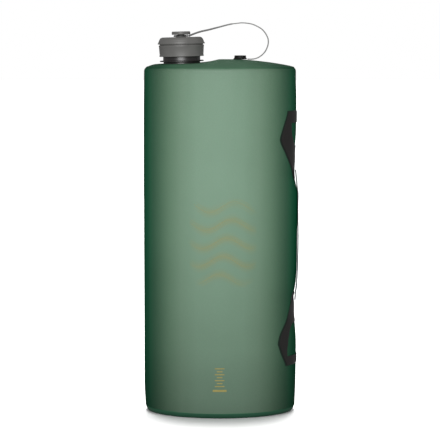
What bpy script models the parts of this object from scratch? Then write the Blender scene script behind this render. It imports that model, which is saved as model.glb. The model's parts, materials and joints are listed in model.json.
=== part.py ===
"""A collapsible four-litre water bottle: a welded film bag with a screw closure, a tether and a side handle.

Frame: origin at the centre of the base on the ground, +X to the handle side, -Y to the printed front, +Z up.
All lengths are in metres. Run with: blender --background --python part.py
"""

import math

import bmesh
import bpy
from mathutils import Vector

# Bag, which is a tall oval tube of film
HALF_DEPTH = 0.0470
RIM_LOW = 0.0060
RIM_HIGH = 0.3950
FILM = 0.0008
GAP = 0.0003
TOP_GAP = FILM + GAP  # between the tube's upper end and the rim of the top
BASE_GAP = 2 * GAP  # between the tube's lower end and the rim of the base
DOME_RISE = 0.0086
DOME_POWER = 0.9
DOME_TILT = 0.1  # how much higher the dome is at the handle side, as a share
FOOT_FLAT = 0.94  # share of the base's radius over which it is flat
# The bag's half width: (height, distance from its middle)
BODY_SIDE = (
    (0.006, 0.0858), (0.030, 0.0869), (0.090, 0.0868), (0.210, 0.0867), (0.340, 0.0862), (0.395, 0.0855),
)
# The same at the handle side, where the handle pulls the film: (height, distance from the middle)
HANDLE_SIDE = (
    (0.0060, 0.0860), (0.0320, 0.0869), (0.0790, 0.0873), (0.0976, 0.0863), (0.1120, 0.0845),
    (0.1270, 0.0842), (0.1327, 0.0836), (0.1374, 0.0845), (0.1467, 0.0862), (0.1560, 0.0871),
    (0.1790, 0.0880), (0.2116, 0.0881), (0.2531, 0.0882), (0.2577, 0.0873), (0.2669, 0.0853),
    (0.2737, 0.0839), (0.2920, 0.0844), (0.3012, 0.0845), (0.3194, 0.0859), (0.3350, 0.0862),
    (0.3626, 0.0862), (0.3810, 0.0856), (0.3950, 0.0855),
)
HANDLE_PULL_POWER = 4  # how closely that pull keeps to the handle side
RIM_WIDTH = BODY_SIDE[-1][1]
BASE_WIDTH = BODY_SIDE[0][1]

# Closure: its heights are along its own axis, from the film of the top panel
CLOSURE_X = -0.0432
CLOSURE_Z = 0.4000
CLOSURE_LEAN = math.radians(-1.4)
SEAT_FLAT = 0.0275  # the film stays flat this far from the closure's axis
SEAT_BLEND = 0.0440
PITCH = 0.0050
THREAD_WIDTH = 0.0020
THREAD_START = 0.0106
THREAD_LEAST = 0.15  # share of a thread's height at its very ends
ROOT_OVERLAP = 0.0006  # how deep a thread's root sits in its wall
NECK_BORE = 0.0176
NECK_CORE = 0.0198
NECK_COLLAR = 0.0210
NECK_TOP = 0.0204
NECK_CHAMFER = 0.0005
NECK_TURNS = (0.04, 1.5)
COLLAR_TOP = 0.0088
WELD_FLANGE = 0.0260
WELD_LOW = -0.0031
WELD_HIGH = -0.0011
NECK_FOOT = 0.02075
FLANGE = 0.02475
FLANGE_LOW = 0.00215
FLANGE_HIGH = 0.00345
CAP_INSIDE = 0.0222
CAP_CAVITY = 0.0170
CAP_BOTTOM = 0.0079
CAP_TOP = 0.0295
CAP_DECK = 0.0024
CAP_TURNS = (0.55, 1.72)
SEAL_INSIDE = 0.0176
SEAL_OUTSIDE = 0.0218
SEAL_LOW = 0.0208
SEAL_HIGH = 0.0222
CAP_CEILING = SEAL_HIGH + GAP
# The cap's outside, from the bottom of its skirt to its deck: (radius, height)
CAP_OUTSIDE = (
    (0.02485, CAP_BOTTOM), (0.02550, 0.0209), (0.02490, 0.0212), (0.02490, 0.02185), (0.02670, 0.02185),
    (0.02670, 0.02295), (0.02610, 0.02300), (0.02580, 0.0248), (0.02530, 0.0250), (0.02500, 0.0262),
    (0.02430, 0.0276), (0.02320, 0.0288), (0.02150, CAP_TOP),
)
PORT_BORE = 0.0043
PORT_WALL = 0.0056
PORT_FLANGE = 0.0090
PORT_FLANGE_DEPTH = 0.0023
PORT_TOP = 0.0320
PORT_LIP = 0.0006
RING_GAP = 0.00035
RING_OUTSIDE = 0.0085
RING_LOW = 0.0298
RING_HIGH = 0.0310
PLUG_HUB = 0.0006
PLUG_HEAD = 0.0105
PLUG_TOP = 0.0359
PLUG_EDGE = 0.0012
PLUG_STEM = 0.0039
PLUG_TIP = 0.0250
PLUG_CHAMFER = 0.0006
PLUG_GROOVE = 0.0029
PLUG_GROOVE_LOW = 0.0272
PLUG_GROOVE_HIGH = 0.0287
PLUG_SEAL_RADIUS = 0.0036
PLUG_SEAL_WIRE = 0.00055
FINGER_LIP = (0.006, 0.030, 0.004)  # size of the scoop under the plug's head

# Tether, a flat strap seen edge on in the plane y = 0: (x, z) along its middle
TETHER_WIDTH = 0.0070
TETHER_THICK = 0.0020
TETHER_THIN = 0.0010
TETHER_STEP_X = 0.0140
TETHER_ROUTE = (
    (-0.0353, 0.4307), (-0.0325, 0.4320), (-0.0226, 0.4355), (-0.0125, 0.4378), (-0.0013, 0.4407),
    (0.0113, 0.4439), (0.0180, 0.4448), (0.0255, 0.4455), (0.0352, 0.4443), (0.0412, 0.4420),
    (0.0474, 0.4383), (0.0517, 0.4332), (0.0543, 0.4276), (0.0546, 0.4231), (0.0536, 0.4185),
    (0.0511, 0.4134), (0.0469, 0.4089), (0.0415, 0.4058), (0.0365, 0.4048), (0.0312, 0.4048),
)
ANCHOR_X = 0.0229
ANCHOR_RADIUS = 0.0066
ANCHOR_BASE_RADIUS = 0.0078
ANCHOR_BASE = 0.0007
ANCHOR_FLARE = 0.0009
ANCHOR_CHAMFER = 0.0006
ANCHOR_HUB = 0.0015
ANCHOR_TOP = 0.4089

# Handle: two welded tabs and a strap. (height, half width of the tab, half width of its window)
TAB_THICK = 0.0010
TAB_GAP = 0.0006
UPPER_TAB = (
    (0.3462, 0.0213, 0.0160), (0.3400, 0.0228, 0.0168), (0.3336, 0.0246, 0.0175), (0.3257, 0.0266, 0.0172),
    (0.3191, 0.0279, 0.0160), (0.3152, 0.0283, 0.0138), (0.3111, 0.0275, 0.0110), (0.3072, 0.0262, 0.0088),
    (0.3020, 0.0239, 0.0070), (0.2950, 0.0208, 0.0060), (0.2879, 0.0171, 0.0050), (0.2806, 0.0122, 0.0040),
    (0.2740, 0.0090, 0.0035), (0.2700, 0.0078, 0.0030),
)
UPPER_WINDOW = (0.3072, 0.3336)
LOWER_TAB = (
    (0.0573, 0.0229, 0.0215), (0.0631, 0.0249, 0.0220), (0.0672, 0.0262, 0.0224), (0.0720, 0.0276, 0.0228),
    (0.0779, 0.0288, 0.0225), (0.0827, 0.0297, 0.0216), (0.0872, 0.0292, 0.0214), (0.0917, 0.0285, 0.0201),
    (0.0960, 0.0272, 0.0193), (0.1003, 0.0254, 0.0172), (0.1040, 0.0236, 0.0130), (0.1087, 0.0210, 0.0090),
    (0.1130, 0.0192, 0.0080), (0.1174, 0.0176, 0.0070), (0.1217, 0.0158, 0.0060), (0.1260, 0.0142, 0.0050),
    (0.1302, 0.0115, 0.0040), (0.1345, 0.0098, 0.0035), (0.1380, 0.0080, 0.0030),
)
LOWER_WINDOW = (0.0672, 0.1040)
STRAP_HALF_WIDTH = 0.0075
STRAP_THICK = 0.0008
# The strap's middle, from its lower end up: (height, distance from the bag's middle)
STRAP_ROUTE = (
    (0.1290, 0.0863), (0.1374, 0.0869), (0.1467, 0.0881), (0.1560, 0.0886), (0.1700, 0.0892),
    (0.1830, 0.0895), (0.1978, 0.0896), (0.2116, 0.0895), (0.2255, 0.0893), (0.2439, 0.0891),
    (0.2531, 0.0890), (0.2577, 0.0884), (0.2623, 0.0879), (0.2669, 0.0876), (0.2714, 0.0870),
    (0.2790, 0.0863),
)

# Mesh fineness
PANEL_COLUMNS = 18
PANEL_ROW = 0.009  # the tallest row of a panel
TOP_SPOKES = 36
TOP_RINGS = 8
TURN_STEPS = 40
FOOT_RINGS = 6
THREAD_STEPS = 22
THREAD_FADE = 3
SMALL_STEPS = 32
TETHER_STEPS = 42
STRAP_STEPS = 30
TAB_COLUMNS = 3


def material(name, colour, roughness, alpha=1.0):
    """A Principled material with this linear colour."""
    made = bpy.data.materials.new(name)
    made.use_nodes = True
    shader = made.node_tree.nodes["Principled BSDF"]
    shader.inputs["Base Color"].default_value = (*colour, 1.0)
    shader.inputs["Roughness"].default_value = roughness
    shader.inputs["Metallic"].default_value = 0.0
    shader.inputs["Alpha"].default_value = alpha
    return made


def add_object(name, shape, look, parent=None):
    """Links a bmesh as an object with its normals facing out, smooth except at sharp edges."""
    bmesh.ops.recalc_face_normals(shape, faces=shape.faces)
    mesh = bpy.data.meshes.new(name)
    shape.to_mesh(mesh)
    shape.free()
    mesh.shade_smooth()
    mesh.set_sharp_from_angle(angle=math.radians(35))
    mesh.materials.append(look)
    made = bpy.data.objects.new(name, mesh)
    made.parent = parent
    bpy.context.collection.objects.link(made)
    return made


def add_empty(name, location, lean=0.0, parent=None):
    made = bpy.data.objects.new(name, None)
    made.location = location
    made.rotation_euler = (0.0, lean, 0.0)
    made.parent = parent
    bpy.context.collection.objects.link(made)
    return made


def skin(shape, rows, closed=False):
    """Faces between neighbouring rows of points, each row as long as the next."""
    made = [[shape.verts.new(point) for point in row] for row in rows]
    for low, high in zip(made, made[1:]):
        count = len(low)
        for i in range(count if closed else count - 1):
            j = (i + 1) % count
            shape.faces.new((low[i], low[j], high[j], high[i]))
    return made


def thicken(made, thickness, side):
    """Gives a surface its thickness: side 1 adds it outwards, and -1 inwards."""
    solid = made.modifiers.new("thickness", "SOLIDIFY")
    solid.thickness = thickness
    solid.offset = side
    solid.use_even_offset = True


def join(made, other, operation="UNION"):
    """Adds another object to this one, or cuts it away, and hides the other."""
    other.hide_render = True
    other.display_type = "WIRE"
    cut = made.modifiers.new(other.name, "BOOLEAN")
    cut.operation = operation
    cut.object = other


def ease(share):
    share = min(max(share, 0.0), 1.0)
    return share * share * (3.0 - 2.0 * share)


def along(stations, at):
    """The smooth curve through (position, value) stations, as a cubic with averaged slopes."""
    last = len(stations) - 1
    k = max(i for i in range(last) if i == 0 or stations[i][0] <= at)

    def slope(i):
        before, after = stations[max(i - 1, 0)], stations[min(i + 1, last)]
        return (after[1] - before[1]) / (after[0] - before[0])

    (x0, y0), (x1, y1) = stations[k], stations[k + 1]
    span = x1 - x0
    t = min(max((at - x0) / span, 0.0), 1.0)
    bend0, bend1 = slope(k) * span, slope(k + 1) * span
    return (
        y0 * (1 + 2 * t) * (1 - t) ** 2 + bend0 * t * (1 - t) ** 2
        + y1 * t * t * (3 - 2 * t) + bend1 * t * t * (t - 1)
    )


def bag_point(angle, z, out=0.0):
    """A point of the bag's outer face, at an angle round the oval from +X, moved out by a distance."""
    half_width = along(BODY_SIDE, z)
    pull = along(HANDLE_SIDE, z) - half_width
    cosine, sine = math.cos(angle), math.sin(angle)
    x = half_width * cosine + pull * max(cosine, 0.0) ** HANDLE_PULL_POWER
    normal = Vector((cosine / half_width, sine / HALF_DEPTH)).normalized()
    return Vector((x + out * normal.x, HALF_DEPTH * sine + out * normal.y, z))


def side_point(y, z, out):
    """A point of the bag's handle side, at a distance y from its middle plane."""
    return bag_point(math.asin(y / HALF_DEPTH), z, out)


def row_heights():
    """The heights of a panel's rows: every station of the handle side, and even steps between them."""
    heights = [RIM_LOW]
    for (low, _), (high, _) in zip(HANDLE_SIDE, HANDLE_SIDE[1:]):
        steps = math.ceil((high - low) / PANEL_ROW)
        heights += [low + (high - low) * (i + 1) / steps for i in range(steps)]
    return heights


def side_panel(name, start, look):
    """Half of the tube, from the angle of one side seam to the other's."""
    edge = GAP / HALF_DEPTH
    angles = [start + edge + (math.pi - 2 * edge) * k / PANEL_COLUMNS for k in range(PANEL_COLUMNS + 1)]
    shape = bmesh.new()
    skin(shape, [[bag_point(angle, z) for angle in angles] for z in row_heights()])
    thicken(add_object(name, shape, look), FILM, -1)


def neck_seat(x):
    """The height of the flat seat that the closure's weld flange gives the top film."""
    return CLOSURE_Z - (x - CLOSURE_X) * math.tan(CLOSURE_LEAN)


def rim_distance(angle):
    """How far the oval rim is from the closure's axis, in the direction of an angle."""
    cosine, sine = math.cos(angle), math.sin(angle)
    a = (cosine / RIM_WIDTH) ** 2 + (sine / HALF_DEPTH) ** 2
    b = CLOSURE_X * cosine / RIM_WIDTH**2
    c = (CLOSURE_X / RIM_WIDTH) ** 2 - 1.0
    return (math.sqrt(b * b - a * c) - b) / a


def top_height(x, y):
    """The height of the top film: a dome, flat where the closure is welded in."""
    inside = max(1.0 - (x / RIM_WIDTH) ** 2 - (y / HALF_DEPTH) ** 2, 0.0)
    rise = DOME_RISE * inside**DOME_POWER * (1.0 + DOME_TILT * x / RIM_WIDTH)
    away = math.hypot(x - CLOSURE_X, y)
    blend_end = min(SEAT_BLEND, rim_distance(math.atan2(y, x - CLOSURE_X)))
    share = ease((away - SEAT_FLAT) / (blend_end - SEAT_FLAT))
    return neck_seat(x) * (1 - share) + (RIM_HIGH + TOP_GAP + rise) * share


def facing(made, up):
    """Turns an open surface's faces over unless they face up, or down where up is false."""
    mean = sum(face.normal.z for face in made.data.polygons)
    if (mean > 0) != up:
        made.data.flip_normals()
    return made


def top_panel(look):
    """The domed top film, with the hole that the neck stands in."""
    hole = NECK_COLLAR + GAP
    shape = bmesh.new()
    rows = []
    for k in range(TOP_RINGS + 1):
        row = []
        for i in range(TOP_SPOKES):
            angle = 2 * math.pi * i / TOP_SPOKES
            away = hole + (rim_distance(angle) - hole) * k / TOP_RINGS
            x, y = CLOSURE_X + away * math.cos(angle), away * math.sin(angle)
            row.append((x, y, top_height(x, y)))
        rows.append(row)
    skin(shape, rows, closed=True)
    thicken(facing(add_object("top_panel", shape, look), True), FILM, -1)


def bottom_panel(look):
    """The base film: flat in the middle, and rounded up to the lower rim."""
    angles = [2 * math.pi * i / TOP_SPOKES for i in range(TOP_SPOKES)]
    shape = bmesh.new()
    rows = []
    for i in range(FOOT_RINGS + 1):
        turned_in = math.pi / 2 * i / FOOT_RINGS
        share = FOOT_FLAT + (1 - FOOT_FLAT) * math.cos(turned_in)
        z = (RIM_LOW - BASE_GAP) * (1 - math.sin(turned_in))
        rows.append([(share * BASE_WIDTH * math.cos(a), share * HALF_DEPTH * math.sin(a), z) for a in angles])
    made = skin(shape, rows, closed=True)
    shape.faces.new(made[-1])
    thicken(facing(add_object("bottom_panel", shape, look), False), FILM, -1)


def turned(name, profile, look, parent, steps=TURN_STEPS):
    """A ring turned round its parent's axis, from a closed outline of (radius, height) points."""
    shape = bmesh.new()
    rows = []
    for i in range(steps):
        angle = 2 * math.pi * i / steps
        rows.append([(r * math.cos(angle), r * math.sin(angle), h) for r, h in profile])
    rows.append(rows[0])
    skin(shape, rows, closed=True)
    bmesh.ops.remove_doubles(shape, verts=shape.verts, dist=1e-7)
    return add_object(name, shape, look, parent)


def arc(centre, radius, start, stop, steps):
    """Points of a circular arc in a profile, with its angles in degrees."""
    points = []
    for i in range(steps + 1):
        angle = math.radians(start + (stop - start) * i / steps)
        points.append((centre[0] + radius * math.cos(angle), centre[1] + radius * math.sin(angle)))
    return points


def thread(name, root, crest, start, turns, look, parent):
    """A helical ridge of trapezoid section from the root radius to the crest, tapered at both ends."""
    first, last = turns
    shape = bmesh.new()
    rows = []
    count = round((last - first) * THREAD_STEPS)
    for i in range(count + 1):
        turn = first + (last - first) * i / count
        fade = ease(min(i, count - i) / THREAD_FADE)
        reach = root + (crest - root) * (THREAD_LEAST + (1 - THREAD_LEAST) * fade)
        base, tip = THREAD_WIDTH / 2, THREAD_WIDTH / 4
        angle, height = 2 * math.pi * turn, start + PITCH * turn
        section = ((root, -base), (reach, -tip), (reach, tip), (root, base))
        rows.append([(r * math.cos(angle), r * math.sin(angle), height + h) for r, h in section])
    made = skin(shape, rows, closed=True)
    shape.faces.new(made[0])
    shape.faces.new(reversed(made[-1]))
    return add_object(name, shape, look, parent)


def neck(look, axis):
    """The moulded neck: a weld flange under the film, a thin outer flange and a threaded spout."""
    profile = [
        (NECK_BORE, WELD_LOW), (WELD_FLANGE, WELD_LOW), (WELD_FLANGE, WELD_HIGH), (NECK_FOOT, WELD_HIGH),
        (NECK_FOOT, FLANGE_LOW), (FLANGE, FLANGE_LOW), (FLANGE, FLANGE_HIGH), (NECK_COLLAR, FLANGE_HIGH),
        (NECK_COLLAR, COLLAR_TOP), (NECK_CORE, COLLAR_TOP + NECK_CHAMFER),
        (NECK_CORE, NECK_TOP - NECK_CHAMFER), (NECK_CORE - NECK_CHAMFER, NECK_TOP),
        (NECK_BORE + NECK_CHAMFER, NECK_TOP), (NECK_BORE, NECK_TOP - NECK_CHAMFER),
    ]
    made = turned("neck", profile, look, axis)
    root = NECK_CORE - ROOT_OVERLAP
    join(made, thread("neck_thread", root, NECK_COLLAR, THREAD_START, NECK_TURNS, look, axis))


def cap_shell(look, axis):
    """The screw cap: a plain skirt, a thin lip and a rounded shoulder round the port hole."""
    hole = PORT_WALL + GAP
    profile = [
        (CAP_INSIDE, CAP_BOTTOM), *CAP_OUTSIDE, (hole, CAP_TOP), (hole, CAP_TOP - CAP_DECK),
        (CAP_CAVITY, CAP_TOP - CAP_DECK), (CAP_CAVITY, CAP_CEILING), (CAP_INSIDE, CAP_CEILING),
    ]
    made = turned("cap_shell", profile, look, axis)
    root, crest = CAP_INSIDE + ROOT_OVERLAP, NECK_CORE + NECK_CHAMFER
    join(made, thread("cap_thread", root, crest, THREAD_START - PITCH / 2, CAP_TURNS, look, axis))


def closure(looks, axis):
    neck(looks["neck"], axis)
    cap_axis = add_empty("cap_axis", (0, 0, 0), parent=axis)
    cap_shell(looks["cap"], cap_axis)
    seal = [
        (SEAL_INSIDE, SEAL_LOW), (SEAL_OUTSIDE, SEAL_LOW),
        (SEAL_OUTSIDE, SEAL_HIGH), (SEAL_INSIDE, SEAL_HIGH),
    ]
    turned("cap_seal", seal, looks["seal"], cap_axis)
    deck = CAP_TOP - CAP_DECK
    flange = deck - PORT_FLANGE_DEPTH
    port = [
        (PORT_BORE, flange), (PORT_FLANGE, flange), (PORT_FLANGE, deck - GAP), (PORT_WALL, deck - GAP),
        (PORT_WALL, PORT_TOP - PORT_LIP - GAP), (PORT_WALL + PORT_LIP, PORT_TOP - PORT_LIP),
        (PORT_WALL, PORT_TOP), (PORT_BORE, PORT_TOP),
    ]
    turned("port_seat", port, looks["port"], cap_axis, SMALL_STEPS)
    inside = PORT_WALL + RING_GAP
    ring = [(inside, RING_LOW), (RING_OUTSIDE, RING_LOW), (RING_OUTSIDE, RING_HIGH), (inside, RING_HIGH)]
    turned("tether_ring", ring, looks["tether"], cap_axis, SMALL_STEPS)
    plug(looks, add_empty("plug_axis", (0, 0, 0), parent=cap_axis))


def plug(looks, axis):
    """The push-in plug: a broad head with a finger lip, and a stem with a groove for its ring."""
    low = PORT_TOP + GAP
    profile = [
        (PLUG_HUB, PLUG_TIP), (PLUG_STEM - PLUG_CHAMFER, PLUG_TIP), (PLUG_STEM, PLUG_TIP + PLUG_CHAMFER),
        (PLUG_STEM, PLUG_GROOVE_LOW), (PLUG_GROOVE, PLUG_GROOVE_LOW), (PLUG_GROOVE, PLUG_GROOVE_HIGH),
        (PLUG_STEM, PLUG_GROOVE_HIGH), (PLUG_STEM, low), (PLUG_HEAD - GAP, low), (PLUG_HEAD, low + GAP),
        *arc((PLUG_HEAD - PLUG_EDGE, PLUG_TOP - PLUG_EDGE), PLUG_EDGE, 0, 90, 3), (PLUG_HUB, PLUG_TOP),
    ]
    made = turned("plug", profile, looks["cap"], axis, SMALL_STEPS)
    core = bmesh.new()
    long, wide = PLUG_TOP - PLUG_TIP, PLUG_HUB * 2
    bmesh.ops.create_cone(core, cap_ends=True, segments=16, radius1=wide, radius2=wide, depth=long)
    bmesh.ops.translate(core, verts=core.verts, vec=(0, 0, (PLUG_TOP + PLUG_TIP) / 2))
    join(made, add_object("plug_core", core, looks["cap"], axis))
    scoop = bmesh.new()
    bmesh.ops.create_cube(scoop, size=1.0)
    bmesh.ops.scale(scoop, verts=scoop.verts, vec=FINGER_LIP)
    middle = (FINGER_LIP[0] / 6 - PLUG_HEAD, 0, low - FINGER_LIP[2] / 8)
    bmesh.ops.translate(scoop, verts=scoop.verts, vec=middle)
    join(made, add_object("plug_finger_lip", scoop, looks["cap"], axis), "DIFFERENCE")
    middle = (PLUG_SEAL_RADIUS, (PLUG_GROOVE_LOW + PLUG_GROOVE_HIGH) / 2)
    turned("plug_seal", arc(middle, PLUG_SEAL_WIRE, 0, 315, 7), looks["seal"], axis, SMALL_STEPS)


def smooth_route(points, steps):
    """Evenly spaced points of the smooth curve through a route's own points."""
    lengths = [0.0]
    for before, after in zip(points, points[1:]):
        lengths.append(lengths[-1] + math.dist(before, after))
    firsts = list(zip(lengths, [p[0] for p in points]))
    seconds = list(zip(lengths, [p[1] for p in points]))
    marks = [lengths[-1] * i / steps for i in range(steps + 1)]
    return [(along(firsts, mark), along(seconds, mark)) for mark in marks]


def ribbon(name, middle, half_width, thickness, look):
    """A flat strap swept along (x, z) points, whose thickness is a function of x."""
    shape = bmesh.new()
    rows = []
    for i, (x, z) in enumerate(middle):
        before, after = middle[max(i - 1, 0)], middle[min(i + 1, len(middle) - 1)]
        way = Vector((after[0] - before[0], after[1] - before[1])).normalized()
        half = thickness(x) / 2
        side = Vector((-way.y, way.x)) * half
        rows.append([
            (x + side.x, -half_width, z + side.y), (x + side.x, half_width, z + side.y),
            (x - side.x, half_width, z - side.y), (x - side.x, -half_width, z - side.y),
        ])
    ends = skin(shape, rows, closed=True)
    shape.faces.new(ends[0])
    shape.faces.new(reversed(ends[-1]))
    add_object(name, shape, look)


def tether(looks):
    def thickness(x):
        return TETHER_THICK if x < TETHER_STEP_X else TETHER_THIN

    route = smooth_route(TETHER_ROUTE, TETHER_STEPS)
    ribbon("tether_strap", route, TETHER_WIDTH / 2, thickness, looks["tether"])
    seat = top_height(ANCHOR_X, 0.0) + GAP
    axis = add_empty("anchor_axis", (ANCHOR_X, 0, 0))
    profile = [
        (ANCHOR_HUB, seat), (ANCHOR_BASE_RADIUS, seat), (ANCHOR_BASE_RADIUS, seat + ANCHOR_BASE),
        (ANCHOR_RADIUS, seat + ANCHOR_BASE + ANCHOR_FLARE), (ANCHOR_RADIUS, ANCHOR_TOP - ANCHOR_CHAMFER),
        (ANCHOR_RADIUS - ANCHOR_CHAMFER, ANCHOR_TOP), (ANCHOR_HUB, ANCHOR_TOP),
    ]
    turned("tether_anchor", profile, looks["black"], axis, SMALL_STEPS)


def handle_tab(name, stations, window, look):
    """A stiff tab welded round the bag's handle side, with a window between two heights."""
    shape = bmesh.new()
    rows = []
    for z, half, opening in stations:
        limb = [opening + (half - opening) * j / TAB_COLUMNS for j in range(TAB_COLUMNS + 1)]
        middle = [opening * j / TAB_COLUMNS for j in range(1 - TAB_COLUMNS, TAB_COLUMNS)]
        row = [-y for y in limb[::-1]] + middle + limb
        rows.append([shape.verts.new(side_point(y, z, TAB_GAP)) for y in row])
    for k, (low, high) in enumerate(zip(rows, rows[1:])):
        level = (stations[k][0] + stations[k + 1][0]) / 2
        for i in range(len(low) - 1):
            if window[0] < level < window[1] and TAB_COLUMNS <= i < 3 * TAB_COLUMNS:
                continue
            shape.faces.new((low[i], low[i + 1], high[i + 1], high[i]))
    made = add_object(name, shape, look)
    if made.data.polygons[0].normal.x < 0:
        made.data.flip_normals()
    thicken(made, TAB_THICK, 1)


def handle_strap(look):
    route = smooth_route([(x, z) for z, x in STRAP_ROUTE], STRAP_STEPS)
    ribbon("handle_strap", route, STRAP_HALF_WIDTH, lambda x: STRAP_THICK, look)


def main():
    for old in list(bpy.data.objects):
        bpy.data.objects.remove(old)
    looks = {
        "film": material("sage_film", (0.16, 0.28, 0.20), 0.40, 0.85),
        "neck": material("smoky_neck", (0.02, 0.018, 0.018), 0.25),
        "cap": material("grey_cap", (0.16, 0.155, 0.145), 0.45),
        "port": material("port_insert", (0.03, 0.03, 0.03), 0.40),
        "seal": material("seal_rubber", (0.35, 0.35, 0.34), 0.60),
        "tether": material("tether_strap", (0.22, 0.22, 0.21), 0.45),
        "black": material("black_plastic", (0.015, 0.014, 0.013), 0.50),
    }
    side_panel("front_panel", math.pi, looks["film"])
    side_panel("back_panel", 0.0, looks["film"])
    top_panel(looks["film"])
    bottom_panel(looks["film"])
    closure(looks, add_empty("closure_axis", (CLOSURE_X, 0, CLOSURE_Z), CLOSURE_LEAN))
    tether(looks)
    handle_tab("upper_handle_tab", UPPER_TAB, UPPER_WINDOW, looks["black"])
    handle_tab("lower_handle_tab", LOWER_TAB, LOWER_WINDOW, looks["black"])
    handle_strap(looks["black"])


main()
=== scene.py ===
"""Looks for the collapsible water bottle: finer pieces, materials, light and camera."""

import json
import math

import bmesh
import bpy
import numpy as np
from mathutils import Matrix, Vector, noise


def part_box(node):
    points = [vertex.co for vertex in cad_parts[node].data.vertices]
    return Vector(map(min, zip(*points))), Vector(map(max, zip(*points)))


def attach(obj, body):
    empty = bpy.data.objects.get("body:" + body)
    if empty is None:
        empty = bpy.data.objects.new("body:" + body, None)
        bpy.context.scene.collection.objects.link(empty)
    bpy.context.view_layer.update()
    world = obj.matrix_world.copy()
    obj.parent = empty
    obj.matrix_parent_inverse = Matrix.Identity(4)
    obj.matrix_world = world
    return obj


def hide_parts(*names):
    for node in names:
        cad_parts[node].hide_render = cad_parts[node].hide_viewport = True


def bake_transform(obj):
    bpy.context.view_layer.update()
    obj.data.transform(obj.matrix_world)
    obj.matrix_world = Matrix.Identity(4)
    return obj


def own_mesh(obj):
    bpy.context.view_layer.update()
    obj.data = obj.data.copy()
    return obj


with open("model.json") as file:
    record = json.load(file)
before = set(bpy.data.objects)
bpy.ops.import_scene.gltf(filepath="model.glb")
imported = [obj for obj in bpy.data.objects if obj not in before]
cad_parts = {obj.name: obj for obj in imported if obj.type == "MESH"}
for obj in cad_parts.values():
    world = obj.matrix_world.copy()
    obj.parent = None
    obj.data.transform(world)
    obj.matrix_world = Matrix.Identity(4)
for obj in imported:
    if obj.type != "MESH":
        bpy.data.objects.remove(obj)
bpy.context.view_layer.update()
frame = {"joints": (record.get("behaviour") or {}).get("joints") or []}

# ---------------------------------------------------------------- dimensions, in metres

# The bag
FILM = 0.0008
RIM_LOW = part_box("front_panel")[0][2]
RIM_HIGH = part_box("front_panel")[1][2]
HALF_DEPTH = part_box("bottom_panel")[1][1]
SEAM_Y = 0.00015  # each film stops this far from the side seams' plane
SLACK_WAVE = 0.00035  # height of the film's broad soft waves
SLACK_PULL = 0.00045  # height of the short pulls near its rims
TOP_REACH = 0.020  # how far down from the upper rim those pulls reach
BASE_REACH = 0.016  # and how far up from the lower rim
# Shares of half a turn round the bag
SLACK_FADE = 0.06
WELD_HALF = 0.012
WELD_FADE = 0.008
SIDE_WELD = 0.00035  # how far the side welds stand proud
TOP_DENT = 0.0004
BASE_PUCKER = 0.0004
TOP_BEAD = 0.0007  # radius of the weld at the upper rim
BASE_BEAD = 0.00055  # and at the lower rim
SHOULDER = 0.0035  # radius of the film's turn into the top
SHOULDER_ANGLE = math.radians(62)
TOP_INSET = SHOULDER * (1 - math.cos(SHOULDER_ANGLE))
TOP_RISE = 0.0086
TOP_GAP = 0.0011  # between the side films' upper ends and the rim of the top
NECK_HOLE = 0.0213
SEAT_FLAT = 0.0275  # the top lies flat this far round the closure's axis
SEAT_BLEND = 0.0440  # and is a full dome from here
DOME_POWER = 0.9
DOME_TILT = 0.1  # how much higher the dome is at the handle side, as a share
FOOT_FLAT = 0.94  # share of the base's radius over which it is flat
# The bag's half width, and the same at the handle side: (height, distance from its middle)
BODY_SIDE = (
    (0.006, 0.0858), (0.030, 0.0869), (0.090, 0.0868), (0.210, 0.0867), (0.340, 0.0862), (0.395, 0.0855),
)
HANDLE_SIDE = (
    (0.0060, 0.0860), (0.0320, 0.0869), (0.0790, 0.0873), (0.0976, 0.0863), (0.1120, 0.0845),
    (0.1270, 0.0842), (0.1327, 0.0836), (0.1374, 0.0845), (0.1467, 0.0862), (0.1560, 0.0871),
    (0.1790, 0.0880), (0.2116, 0.0881), (0.2531, 0.0882), (0.2577, 0.0873), (0.2669, 0.0853),
    (0.2737, 0.0839), (0.2920, 0.0844), (0.3012, 0.0845), (0.3194, 0.0859), (0.3350, 0.0862),
    (0.3626, 0.0862), (0.3810, 0.0856), (0.3950, 0.0855),
)
HANDLE_PULL_POWER = 4  # how closely the handle's pull keeps to its side
HALF_WIDTH = BODY_SIDE[1][1]
TOP_WIDTH = BODY_SIDE[-1][1]
BASE_WIDTH = BODY_SIDE[0][1]

JOINTS = {joint["name"]: joint for joint in frame["joints"]}
CLOSURE = Vector(JOINTS["cap_turn"]["pos_m"])
CLOSURE_AXIS = Vector(JOINTS["cap_turn"]["axis"]).normalized()
CLOSURE_FRAME = Matrix.Translation(CLOSURE) @ CLOSURE_AXIS.to_track_quat("Z", "Y").to_matrix().to_4x4()

# Closure outlines, turned round its own axis: (radius, height from the film of the top)
NECK_PROFILE = (
    (0.0176, -0.0031), (0.0260, -0.0031), (0.0260, -0.0011), (0.02075, -0.0011),
    (0.02075, 0.00215), (0.02475, 0.00215), (0.02475, 0.00345), (0.0210, 0.00345),
    (0.0210, 0.0088), (0.0198, 0.0094), (0.0198, 0.0204), (0.0176, 0.0204),
)
CAP_PROFILE = (
    (0.0222, 0.0079), (0.02500, 0.0079), (0.02515, 0.0085), (0.02500, 0.0093), (0.02475, 0.0096),
    (0.02538, 0.0190), (0.02555, 0.0194), (0.02555, 0.0204), (0.02455, 0.0207), (0.02455, 0.0217),
    (0.0267, 0.0219), (0.0267, 0.0229), (0.02610, 0.0230), (0.02595, 0.0238), (0.02570, 0.0246),
    (0.02540, 0.0249), (0.02500, 0.0262), (0.02430, 0.0276), (0.02320, 0.0288), (0.02150, 0.0295),
    (0.0205, 0.0295), (0.0202, 0.0293), (0.0120, 0.0293), (0.0117, 0.0295),
    (0.0060, 0.0295), (0.0060, 0.0271), (0.0170, 0.0271), (0.0170, 0.0225), (0.0222, 0.0225),
)
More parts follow.
